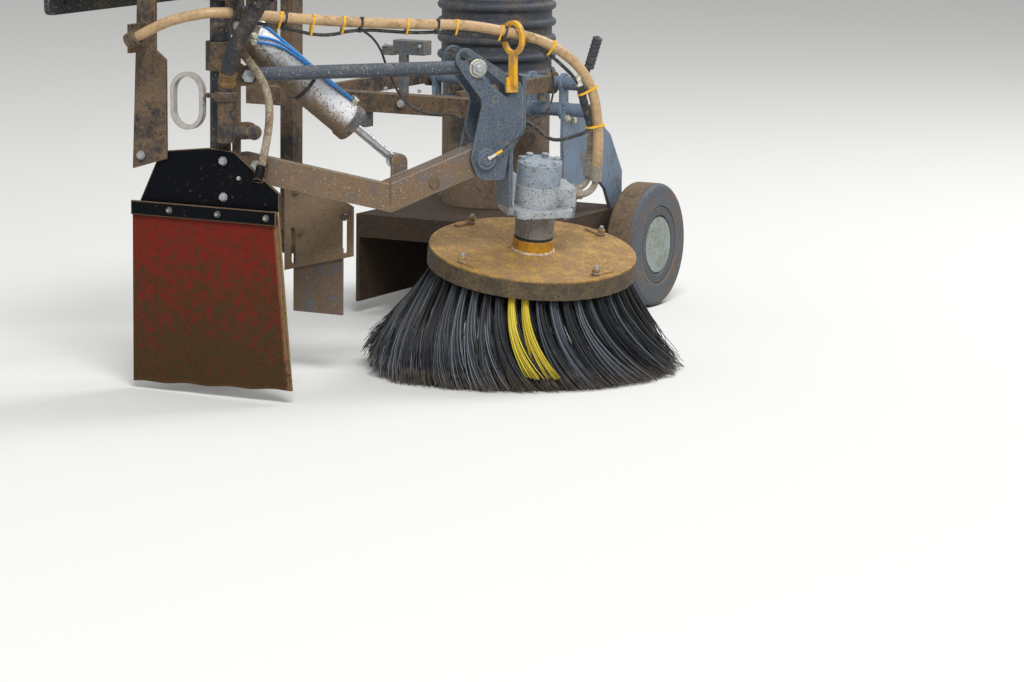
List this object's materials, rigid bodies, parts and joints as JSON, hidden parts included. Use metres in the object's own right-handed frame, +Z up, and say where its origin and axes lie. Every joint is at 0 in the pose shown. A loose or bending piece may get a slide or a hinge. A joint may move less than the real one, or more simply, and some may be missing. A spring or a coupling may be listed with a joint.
{
  "type": "sweep gear unit of a street sweeper truck",
  "caption": "Side sweep gear for a street sweeper: tilted gutter broom on a parallel lift arm, with rubber flap, suction nozzle and jockey wheels on one chassis bracket.",
  "frame": {"origin": "middle of the chassis plate's mounting face, which lies against the side of the truck's chassis", "axes": "+X outboard, away from the chassis, +Y to the rear of the truck, +Z up"},
  "size_m": [1.1538, 1.8114, 0.978],
  "materials": {
    "frame_paint": "satin",
    "cast_grey": "rough",
    "zinc_steel": "satin",
    "black_steel": "satin",
    "red_rubber": "matte",
    "grey_paint": "satin",
    "hose_cream": "matte",
    "hose_grey": "matte",
    "white_paint": "satin",
    "chrome_rod": "polished",
    "yellow_plastic": "matte",
    "yellow_paint": "satin",
    "block_plastic": "matte",
    "black_bristle": "matte",
    "cast_blue_grey": "satin",
    "black_rubber": "matte",
    "wheel_tyre": "matte",
    "wheel_hub": "matte"
  },
  "bodies": {
    "frame": {"chassis_plate": "frame_paint", "side_rail": "frame_paint", "outrigger_front": "frame_paint", "outrigger_rear": "frame_paint", "kingpin_post": "frame_paint", "knuckle": "cast_grey", "arm_root_pin": "zinc_steel", "tie_root_pin": "zinc_steel", "cylinder_top_pin": "zinc_steel", "flap_bracket": "black_steel", "clamp_strip": "black_steel", "flap": "red_rubber", "channel_post": "frame_paint", "side_plate": "frame_paint", "cross_beam": "frame_paint", "nozzle_shaft": "grey_paint", "hose_gland": "zinc_steel", "feed_barrel": "frame_paint", "feed_hose": "black_rubber", "hose_lead": "hose_cream", "spray_hose": "hose_cream", "stay_plate": "frame_paint", "side_plate_lower": "zinc_steel", "valve_block": "cast_grey", "lower_valve": "cast_grey"},
    "arm": {"arm": "frame_paint", "hose_root_run": "hose_cream", "hose_arm_run": "hose_cream"},
    "tie_rod": {"tie_rod": "grey_paint"},
    "lift_barrel": {"cylinder_barrel": "white_paint"},
    "lift_rod": {"cylinder_rod": "chrome_rod"},
    "head": {"fork_plate_near": "grey_paint", "fork_plate_far": "grey_paint", "carrier": "grey_paint", "fork_pin": "zinc_steel", "slot_bolt": "zinc_steel", "motor_bracket": "cast_grey", "motor_body": "cast_grey", "motor_cap": "cast_grey", "port_elbow_near": "zinc_steel", "port_elbow_far": "zinc_steel", "hose_hanger": "yellow_plastic", "hose_drop": "hose_cream", "second_hose": "hose_grey"},
    "broom": {"disc_hub": "yellow_paint", "brush_block": "block_plastic", "bristles": "black_bristle"},
    "nozzle": {"nozzle_frame": "grey_paint", "nozzle_end": "cast_blue_grey", "nozzle_housing": "cast_blue_grey", "suction_duct": "cast_blue_grey", "suction_sleeve": "black_rubber"},
    "wheel_outer": {"wheel_tyre_outer": "wheel_tyre", "wheel_hub_outer": "wheel_hub"},
    "wheel_inner": {"wheel_tyre_inner": "wheel_tyre", "wheel_hub_inner": "wheel_hub"}
  },
  "joints": [
    {"name": "arm_lift", "type": "hinge", "parent": "frame", "child": "arm", "pos_m": [0.449, -0.237, -0.402], "axis": [0.766, -0.6428, 0], "range_deg": [-4, 22], "deforming": ["hose_root_run", "hose_arm_run"]},
    {"name": "head_level", "type": "hinge", "parent": "arm", "child": "head", "pos_m": [0.77939, 0.15675, -0.4], "axis": [0.766, -0.6428, 0], "range_deg": [-22.5, 4.5]},
    {"name": "tie_swing", "type": "hinge", "parent": "frame", "child": "tie_rod", "pos_m": [0.44598, -0.25927, -0.207], "axis": [0.766, -0.6428, 0], "range_deg": [-4.5, 22.5]},
    {"name": "barrel_swing", "type": "hinge", "parent": "frame", "child": "lift_barrel", "pos_m": [0.39363, -0.21665, -0.109], "axis": [0.766, -0.6428, 0], "range_deg": [-2.84, 13.35]},
    {"name": "lift_stroke", "type": "slide", "parent": "lift_barrel", "child": "lift_rod", "axis": [0.4967, 0.5919, -0.6347], "range_m": [-0.0906, 0.0181]},
    {"name": "broom_spin", "type": "hinge", "parent": "head", "child": "broom", "pos_m": [0.84705, 0.28404, -0.61], "axis": [0.1363, -0.1144, 0.984], "continuous": true},
    {"name": "nozzle_swing", "type": "hinge", "parent": "frame", "child": "nozzle", "pos_m": [0.4, 0.95, -0.32], "axis": [1, 0, 0], "range_deg": [-3, 10]},
    {"name": "outer_wheel_spin", "type": "hinge", "parent": "nozzle", "child": "wheel_outer", "pos_m": [0.648, 1.25, -0.73], "axis": [1, 0, 0], "continuous": true},
    {"name": "inner_wheel_spin", "type": "hinge", "parent": "nozzle", "child": "wheel_inner", "pos_m": [0.062, 1.25, -0.73], "axis": [1, 0, 0], "continuous": true}
  ],
  "couplings": [
    {"joint": "head_level", "follows": "arm_lift", "ratio": -1},
    {"joint": "tie_swing", "follows": "arm_lift", "ratio": 1},
    {"joint": "barrel_swing", "follows": "arm_lift", "ratio": 0.584},
    {"joint": "lift_stroke", "follows": "arm_lift", "m_per_rad": -0.2308}
  ]
}
